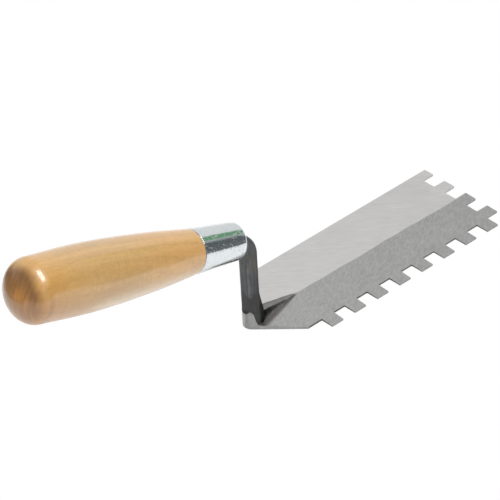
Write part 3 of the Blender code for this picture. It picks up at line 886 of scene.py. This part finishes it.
def wood_material():
    """Clear-lacquered pale hardwood: fine lengthwise grain, soft figure, darker end grain at the butt."""
    material, t, shader = new_material("lacquered_wood")
    position = t.attribute("turned", "Vector")
    up, aside, along = (t.component(position, axis) for axis in "XYZ")
    dome_z = FERRULE_LENGTH + WOOD_LENGTH - DOME_LENGTH

    # Side grain: a tone built up from fibres, growth rings, pores, flecks and a wider flame
    fibre = t.noise(position, (1500, 1500, 190), 3.0, 0.6)
    pore = t.step(t.noise(position, (2600, 2600, 170), 1.0), 0.62, 0.72)
    fleck = t.noise(position, (1000, 1000, 380), 3.0, 0.6)
    ripple = t.noise(position, (240, 240, 820), 2.0, 0.5, 0.3)
    across = t.multiply_add(t.noise(position, (60, 60, 14)), 3 * MM, aside)
    rings = t.maths("SINE", t.multiply(across, 2 * math.pi / RING_SPACING))
    warped = t.multiply_add(t.noise(position, (34, 34, 20)), 16 * MM, across)
    flame = t.maths("SINE", t.multiply(warped, 2 * math.pi / FLAME_SPACING))
    tone = t.multiply(t.stretch(fibre, 0.952, 1.04), t.span(rings, -1.0, 1.0, 0.978, 1.018))
    tone = t.multiply(tone, t.ramp(pore, 1.0, 0.91))
    tone = t.multiply(tone, t.stretch(fleck, 0.935, 1.055))
    tone = t.multiply(tone, t.span(flame, -1.0, 1.0, 0.962, 1.022))
    tone = t.multiply(tone, t.stretch(ripple, 0.962, 1.038))

    figure = t.noise(position, (60, 130, 9), 2.0, 0.5, 0.4)
    side = t.mix(t.stretch(figure, 0.0, 1.0), WOOD_DEEP, WOOD_LIGHT)
    near_ferrule = t.step(along, 72 * MM, 36 * MM)
    side = t.mix(t.multiply(near_ferrule, 0.8), side, WOOD_AT_FERRULE)
    # Painted reflection of the white table: the grip paler on its lower near side
    pale = t.multiply(t.step(up, 1.0 * MM, -9 * MM), t.step(along, dome_z - 12 * MM, dome_z - 36 * MM))
    pale = t.multiply(pale, t.step(aside, 0.0, -6 * MM))
    side = t.tinted(t.mix(t.multiply(pale, 0.95), side, WOOD_PAINTED_REFLECTION), tone)
    # Painted light and shade on the shoulder before the butt: lighter on top, darker below
    shoulder = t.step(along, dome_z - 22 * MM, dome_z + 5 * MM)
    shoulder_colour = t.mix(t.step(up, -3 * MM, 8 * MM), SHOULDER_SHADED_BELOW, SHOULDER_LIT_ABOVE)
    side = t.mix(shoulder, side, t.tinted(shoulder_colour, tone))

    # A faint darker line where the butt begins, on its lower side, as seen from above
    wandering = t.multiply_add(t.noise(position, (160, 160, 160)), 1.6 * MM, along)
    line = t.step(wandering, dome_z - 0.4 * MM, dome_z + 1.2 * MM)
    line = t.multiply(line, t.step(wandering, dome_z + 3.4 * MM, dome_z + 2.0 * MM))
    line = t.multiply(line, t.step(up, 7 * MM, -2 * MM))
    side = t.mix(t.multiply(line, 0.55), side, DARK_LINE_AT_BUTT)

    # End grain
    streaks = t.noise(position, (110, 1000, 110), 3.0, 0.6)
    blotch = t.noise(position, (130, 260, 130), 3.0)
    end_tone = t.multiply(t.span(rings, -1.0, 1.0, 0.985, 1.015), t.stretch(streaks, 0.78, 1.22))
    end_tone = t.multiply(end_tone, t.stretch(blotch, 0.88, 1.12))
    vectors = {0: position, 1: BUTT_SPOT}
    from_spot = t.add("ShaderNodeVectorMath", vectors, output="Value", operation="DISTANCE")
    end_tone = t.multiply(end_tone, t.ramp(t.step(from_spot, 6.5 * MM, 0.5 * MM), 0.94, 1.28))
    # Painted reflection and shade on the end grain: lighter below, where the white table is reflected, darker
    # above
    end_tone = t.multiply(end_tone, t.span(up, -9 * MM, 9 * MM, 1.26, 0.80))
    end_tone = t.multiply(end_tone, t.ramp(t.step(up, 5.5 * MM, -0.5 * MM), 1.0, 1.24))
    end = t.mix(t.step(along, dome_z + 6.8 * MM, dome_z + 9 * MM), END_GRAIN, END_GRAIN_MIDDLE)
    end = t.tinted(end, end_tone)
    uneven = t.maths("SUBTRACT", along, t.multiply(up, 0.12))
    uneven = t.multiply_add(t.noise(position, (90, 220, 90)), -3 * MM, uneven)
    colour = t.mix(t.step(uneven, dome_z + 1.4 * MM, dome_z + 5.4 * MM), side, end)

    # Painted shade in the groove where the wood meets the ferrule
    joint_shade = t.step(along, FERRULE_LENGTH + 0.42 * MM, FERRULE_LENGTH + 0.16 * MM)
    t.link(t.mix(joint_shade, colour, JOINT_SHADE), shader, "Base Color")
    t.link(t.stretch(fibre, 0.42, 0.55), shader, "Roughness")
    shader.inputs["Specular IOR Level"].default_value = 0.8
    shader.inputs["Coat Weight"].default_value = 1.0
    shader.inputs["Coat Roughness"].default_value = 0.17
    shader.inputs["Coat IOR"].default_value = 1.62
    height = t.multiply_add(fibre, 0.5, t.noise(position, (300, 300, 40), 1.0))
    bump = t.add("ShaderNodeBump", {"Strength": 0.25, "Distance": 0.03 * MM, "Height": height})
    t.link(bump, shader, "Normal")
    t.link(bump, shader, "Coat Normal")
    return material


# Floor, light and camera


def add_floor():
    """A white table top, seen as pure white by the camera."""
    bm = bmesh.new()
    bmesh.ops.create_circle(bm, cap_ends=True, radius=FLOOR_RADIUS, segments=96)
    bmesh.ops.translate(bm, verts=bm.verts, vec=(0, 0, -FLOOR_GAP))
    material, t, shader = new_material("white_table")
    grain = t.noise(t.add("ShaderNodeTexCoord", output="Object"), 60)
    t.link(t.mix(t.stretch(grain, 0.0, 1.0), FLOOR_DARK, FLOOR_LIGHT), shader, "Base Color")
    shader.inputs["Roughness"].default_value = 0.9
    shader.inputs["Specular IOR Level"].default_value = 0.1
    shader.inputs["Emission Color"].default_value = WHITE
    shader.inputs["Emission Strength"].default_value = 0.22
    to_camera = t.add("ShaderNodeLightPath", output="Is Camera Ray")
    white = t.add("ShaderNodeEmission", {"Color": WHITE, "Strength": 1.0})
    both = t.add("ShaderNodeMixShader", {0: to_camera, 1: shader.outputs[0], 2: white})
    t.link(both, t.tree.nodes["Material Output"], "Surface")
    floor = make_object("table_top", bm, [material])


def add_card(foot_x, azimuth, distance, width, height, colour):
    """A dark card on the table, hidden from the camera, for its reflection in the plating and the lacquer."""
    bm = bmesh.new()
    a = math.radians(azimuth)
    middle = Vector((foot_x + distance * math.cos(a), distance * math.sin(a), 0.0))
    side = Vector((-math.sin(a), math.cos(a), 0.0)) * width / 2
    top = Vector((0.0, 0.0, height))
    bm.faces.new([bm.verts.new(middle + corner) for corner in (-side, side, side + top, top - side)])
    material, _, shader = new_material("dark_card")
    shader.inputs["Base Color"].default_value = (*colour, 1.0)
    card = make_object("card", bm, [material])
    card.visible_camera = False


def add_softbox(azimuth, elevation, distance, width, height, energy):
    """Area light that faces the trowel. Azimuth is from +X towards +Y."""
    light = bpy.data.lights.new("softbox", "AREA")
    light.shape = "RECTANGLE"
    light.size, light.size_y, light.energy = width, height, energy
    obj = bpy.data.objects.new("softbox", light)
    bpy.context.scene.collection.objects.link(obj)
    a, e = math.radians(azimuth), math.radians(elevation)
    direction = Vector((math.cos(a) * math.cos(e), math.sin(a) * math.cos(e), math.sin(e)))
    obj.location = direction * distance
    obj.rotation_euler = direction.to_track_quat("Z", "Y").to_euler()
    obj.visible_camera = False


def add_world():
    """A tent of diffusing cloth: white to the camera, bright beyond the trowel and grey behind it.

    Towards the notched side it has a dark gap with a green edge. Azimuths are from +X towards +Y, in degrees,
    and dz is the sine of the elevation.
    """
    world = bpy.data.worlds.new("tent")
    bpy.context.scene.world = world
    world.use_nodes = True
    world.node_tree.nodes.clear()
    t = Tree(world.node_tree)
    direction = t.add("ShaderNodeTexCoord", output="Generated")
    dx, dy, dz = (t.component(direction, axis) for axis in "XYZ")
    azimuth = t.maths("ARCTAN2", dy, dx)

    def azimuth_step(low, high):
        return t.step(azimuth, math.radians(low), math.radians(high))

    far_side = t.multiply(t.step(dz, 0.80, 0.66), azimuth_step(-5, -1))
    far_side = t.multiply(far_side, azimuth_step(118, 98))
    colour = t.mix(far_side, TENT, TENT_FAR_SIDE)
    behind = t.maths("ADD", azimuth_step(-105, -125), azimuth_step(112, 128))
    not_overhead = t.step(dz, 0.97, 0.90)
    colour = t.mix(t.multiply(behind, not_overhead), colour, TENT_BEHIND)

    is_green = azimuth_step(-15, -13)
    under_green = t.multiply(is_green, t.step(dz, 0.31, 0.24))
    gap = t.multiply(azimuth_step(6, 3), azimuth_step(-100, -88))
    gap = t.multiply(gap, t.step(dz, 0.62, 0.56))
    gap = t.multiply(gap, t.complement(under_green))
    gap_colour = t.mix(is_green, t.mix(azimuth_step(-22, -19), GAP, GAP_EDGE), GAP_GREEN)
    colour = t.mix(gap, colour, gap_colour)

    scene_light = t.add("ShaderNodeBackground", {"Color": colour, "Strength": 1.0})
    seen = t.add("ShaderNodeBackground", {"Color": WHITE, "Strength": 1.0})
    to_camera = t.add("ShaderNodeLightPath", output="Is Camera Ray")
    both = t.add("ShaderNodeMixShader", {0: to_camera, 1: scene_light, 2: seen})
    output = t.tree.nodes.new("ShaderNodeOutputWorld")
    t.link(both, output, "Surface")


def add_camera():
    data = bpy.data.cameras.new("camera")
    data.lens = CAMERA_LENS
    data.sensor_width = 36.0
    data.clip_start, data.clip_end = 0.1, 10.0
    camera = bpy.data.objects.new("camera", data)
    bpy.context.scene.collection.objects.link(camera)
    a, e = CAMERA_AZIMUTH, CAMERA_ELEVATION
    back = Vector((math.sin(a) * math.cos(e), -math.cos(a) * math.cos(e), math.sin(e)))
    right = Vector((math.cos(a), math.sin(a), 0.0))
    up = back.cross(right)
    roll = Matrix.Rotation(CAMERA_ROLL, 3, back)
    turned = Matrix((roll @ right, roll @ up, back)).transposed().to_4x4()
    camera.matrix_world = Matrix.Translation(CAMERA_TARGET + back * CAMERA_DISTANCE) @ turned
    bpy.context.scene.camera = camera


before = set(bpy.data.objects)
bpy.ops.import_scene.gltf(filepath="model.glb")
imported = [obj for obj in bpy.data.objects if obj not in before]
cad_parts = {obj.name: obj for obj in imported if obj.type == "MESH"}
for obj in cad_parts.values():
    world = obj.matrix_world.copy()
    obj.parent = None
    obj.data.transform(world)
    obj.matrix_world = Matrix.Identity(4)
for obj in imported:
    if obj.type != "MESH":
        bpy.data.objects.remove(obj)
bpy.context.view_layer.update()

forging = make_forging(steel_material())
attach(forging, "root")
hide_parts("blade_shank_tang")

ferrule_front = Vector((0, 0, BEND_CORNER_Z)) + ALONG_HANDLE * FERRULE_FROM_CORNER
handle_axis = Matrix.Translation(ferrule_front) @ Matrix.Rotation(HANDLE_TILT - math.pi / 2, 4, "Y")

ferrule = make_ferrule(zinc_material(), handle_axis)
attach(ferrule, "root")
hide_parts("ferrule")

handle = make_handle(wood_material(), handle_axis)
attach(handle, "root")
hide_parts("wooden_handle")

add_floor()
add_card(foot_x=-0.018, azimuth=-48, distance=0.26, width=0.16, height=0.09, colour=CARD_NEAR)
add_card(foot_x=-0.11, azimuth=126, distance=0.19, width=0.42, height=0.11, colour=CARD_BEHIND)
add_softbox(azimuth=-96, elevation=74, distance=1.2, width=0.42, height=0.75, energy=9.5)
add_world()
add_camera()
bpy.context.scene.view_settings.view_transform = "Standard"
